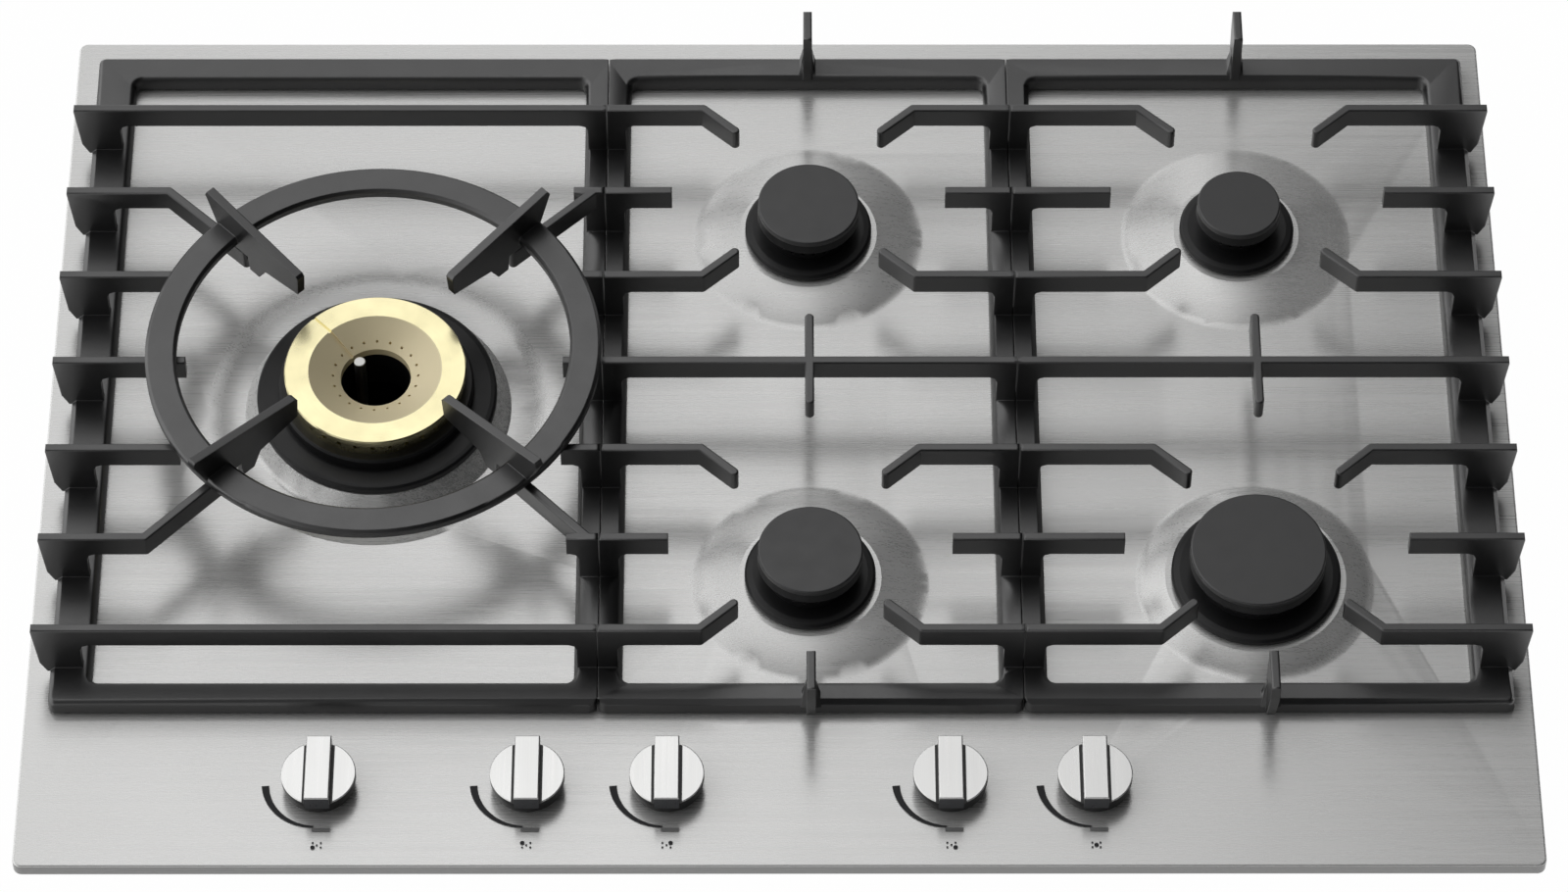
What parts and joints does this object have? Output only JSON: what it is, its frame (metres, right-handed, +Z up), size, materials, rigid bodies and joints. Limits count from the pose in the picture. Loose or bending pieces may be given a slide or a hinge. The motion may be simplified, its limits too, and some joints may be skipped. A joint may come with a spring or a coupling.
{
  "type": "gas cooktop",
  "caption": "Built-in gas cooktop with a brushed steel plate, capped burners, a brass wok burner, cast-iron pan supports, a wok stand and push-and-turn knobs.",
  "frame": {"origin": "middle of the underside of the burner box", "axes": "+Z up, +Y to the rear wall of the kitchen, +X to the right seen from the knobs"},
  "size_m": [0.75, 0.52, 0.117],
  "materials": {
    "brushed_plate": "brushed along its length",
    "seal_foam": "soft foam",
    "box_sheet": "galvanised sheet",
    "zinc_steel": "zinc plated",
    "brass": "machined",
    "flame_ring_brass": "turned and bright",
    "cast_aluminium": "as cast",
    "burner_black": "matte black",
    "cap_enamel": "matte dark grey enamel",
    "ceramic": "glazed ceramic",
    "module_plastic": "moulded",
    "lead_rubber": "silicone sleeve",
    "grommet_rubber": "moulded rubber",
    "knob_satin": "satin silver",
    "cast_iron": "matte black enamel on cast iron"
  },
  "bodies": {
    "root": {"top_plate": "brushed_plate", "rim_seal": "seal_foam", "burner_box": "box_sheet", "box_nuts": "zinc_steel", "cup_brackets": "box_sheet", "worktop_clamps": "zinc_steel", "clamp_screws": "zinc_steel", "gas_rail": "zinc_steel", "gas_inlet": "brass", "inlet_nut": "zinc_steel", "tap_bodies": "cast_aluminium", "tap_bonnets": "zinc_steel", "tap_screws": "zinc_steel", "plug_springs": "zinc_steel", "gas_pipes": "cast_aluminium", "injectors": "brass", "wok_base": "burner_black", "rapid_base": "burner_black", "semirapid_bases": "burner_black", "aux_base": "burner_black", "base_screws": "zinc_steel", "spark_insulators": "ceramic", "spark_pins": "zinc_steel", "thermocouples": "brass", "ignition_module": "module_plastic", "ignition_leads": "lead_rubber", "terminal_block": "module_plastic", "stem_gaskets": "grommet_rubber"},
    "left_grate": {"left_grate": "cast_iron", "left_grate_feet": "grommet_rubber"},
    "centre_grate": {"centre_grate": "cast_iron", "centre_grate_feet": "grommet_rubber"},
    "right_grate": {"right_grate": "cast_iron", "right_grate_feet": "grommet_rubber"},
    "wok_stand": {"wok_stand": "cast_iron"},
    "wok_crown": {"wok_crown": "burner_black"},
    "wok_flame_ring": {"wok_flame_ring": "flame_ring_brass"},
    "semirapid_rear_crown": {"semirapid_rear_crown": "burner_black"},
    "semirapid_rear_cap": {"semirapid_rear_cap": "cap_enamel"},
    "semirapid_front_crown": {"semirapid_front_crown": "burner_black"},
    "semirapid_front_cap": {"semirapid_front_cap": "cap_enamel"},
    "rapid_crown": {"rapid_crown": "burner_black"},
    "rapid_cap": {"rapid_cap": "cap_enamel"},
    "aux_crown": {"aux_crown": "burner_black"},
    "aux_cap": {"aux_cap": "cap_enamel"},
    "tap_plug_1": {"tap_plug_1": "brass"},
    "knob_1": {"knob_1": "knob_satin", "tap_stem_1": "zinc_steel"},
    "tap_plug_2": {"tap_plug_2": "brass"},
    "knob_2": {"knob_2": "knob_satin", "tap_stem_2": "zinc_steel"},
    "tap_plug_3": {"tap_plug_3": "brass"},
    "knob_3": {"knob_3": "knob_satin", "tap_stem_3": "zinc_steel"},
    "tap_plug_4": {"tap_plug_4": "brass"},
    "knob_4": {"knob_4": "knob_satin", "tap_stem_4": "zinc_steel"},
    "tap_plug_5": {"tap_plug_5": "brass"},
    "knob_5": {"knob_5": "knob_satin", "tap_stem_5": "zinc_steel"}
  },
  "joints": [
    {"name": "left_grate_lift", "type": "slide", "parent": "root", "child": "left_grate", "axis": [0, 0, 1], "range_m": [0, 0.1]},
    {"name": "centre_grate_lift", "type": "slide", "parent": "root", "child": "centre_grate", "axis": [0, 0, 1], "range_m": [0, 0.1]},
    {"name": "right_grate_lift", "type": "slide", "parent": "root", "child": "right_grate", "axis": [0, 0, 1], "range_m": [0, 0.1]},
    {"name": "wok_stand_lift", "type": "slide", "parent": "left_grate", "child": "wok_stand", "axis": [0, 0, 1], "range_m": [0, 0.1]},
    {"name": "wok_crown_lift", "type": "slide", "parent": "root", "child": "wok_crown", "axis": [0, 0, 1], "range_m": [0, 0.06]},
    {"name": "wok_flame_ring_lift", "type": "slide", "parent": "wok_crown", "child": "wok_flame_ring", "axis": [0, 0, 1], "range_m": [0, 0.05]},
    {"name": "semirapid_rear_crown_lift", "type": "slide", "parent": "root", "child": "semirapid_rear_crown", "axis": [0, 0, 1], "range_m": [0, 0.06]},
    {"name": "semirapid_rear_cap_lift", "type": "slide", "parent": "semirapid_rear_crown", "child": "semirapid_rear_cap", "axis": [0, 0, 1], "range_m": [0, 0.05]},
    {"name": "semirapid_front_crown_lift", "type": "slide", "parent": "root", "child": "semirapid_front_crown", "axis": [0, 0, 1], "range_m": [0, 0.06]},
    {"name": "semirapid_front_cap_lift", "type": "slide", "parent": "semirapid_front_crown", "child": "semirapid_front_cap", "axis": [0, 0, 1], "range_m": [0, 0.05]},
    {"name": "rapid_crown_lift", "type": "slide", "parent": "root", "child": "rapid_crown", "axis": [0, 0, 1], "range_m": [0, 0.06]},
    {"name": "rapid_cap_lift", "type": "slide", "parent": "rapid_crown", "child": "rapid_cap", "axis": [0, 0, 1], "range_m": [0, 0.05]},
    {"name": "aux_crown_lift", "type": "slide", "parent": "root", "child": "aux_crown", "axis": [0, 0, 1], "range_m": [0, 0.06]},
    {"name": "aux_cap_lift", "type": "slide", "parent": "aux_crown", "child": "aux_cap", "axis": [0, 0, 1], "range_m": [0, 0.05]},
    {"name": "knob_1_turn", "type": "hinge", "parent": "root", "child": "tap_plug_1", "pos_m": [-0.2265, -0.2135, 0.02], "axis": [0, 0, 1], "range_deg": [0, 180]},
    {"name": "knob_1_push", "type": "slide", "parent": "tap_plug_1", "child": "knob_1", "axis": [0, 0, -1], "range_m": [0, 0.003], "stiffness_N_per_m": 1500, "springref_m": -0.003},
    {"name": "knob_2_turn", "type": "hinge", "parent": "root", "child": "tap_plug_2", "pos_m": [-0.124, -0.2135, 0.02], "axis": [0, 0, 1], "range_deg": [0, 180]},
    {"name": "knob_2_push", "type": "slide", "parent": "tap_plug_2", "child": "knob_2", "axis": [0, 0, -1], "range_m": [0, 0.003], "stiffness_N_per_m": 1500, "springref_m": -0.003},
    {"name": "knob_3_turn", "type": "hinge", "parent": "root", "child": "tap_plug_3", "pos_m": [-0.0554, -0.2135, 0.02], "axis": [0, 0, 1], "range_deg": [0, 180]},
    {"name": "knob_3_push", "type": "slide", "parent": "tap_plug_3", "child": "knob_3", "axis": [0, 0, -1], "range_m": [0, 0.003], "stiffness_N_per_m": 1500, "springref_m": -0.003},
    {"name": "knob_4_turn", "type": "hinge", "parent": "root", "child": "tap_plug_4", "pos_m": [0.084, -0.2135, 0.02], "axis": [0, 0, 1], "range_deg": [0, 180]},
    {"name": "knob_4_push", "type": "slide", "parent": "tap_plug_4", "child": "knob_4", "axis": [0, 0, -1], "range_m": [0, 0.003], "stiffness_N_per_m": 1500, "springref_m": -0.003},
    {"name": "knob_5_turn", "type": "hinge", "parent": "root", "child": "tap_plug_5", "pos_m": [0.155, -0.2135, 0.02], "axis": [0, 0, 1], "range_deg": [0, 180]},
    {"name": "knob_5_push", "type": "slide", "parent": "tap_plug_5", "child": "knob_5", "axis": [0, 0, -1], "range_m": [0, 0.003], "stiffness_N_per_m": 1500, "springref_m": -0.003}
  ]
}
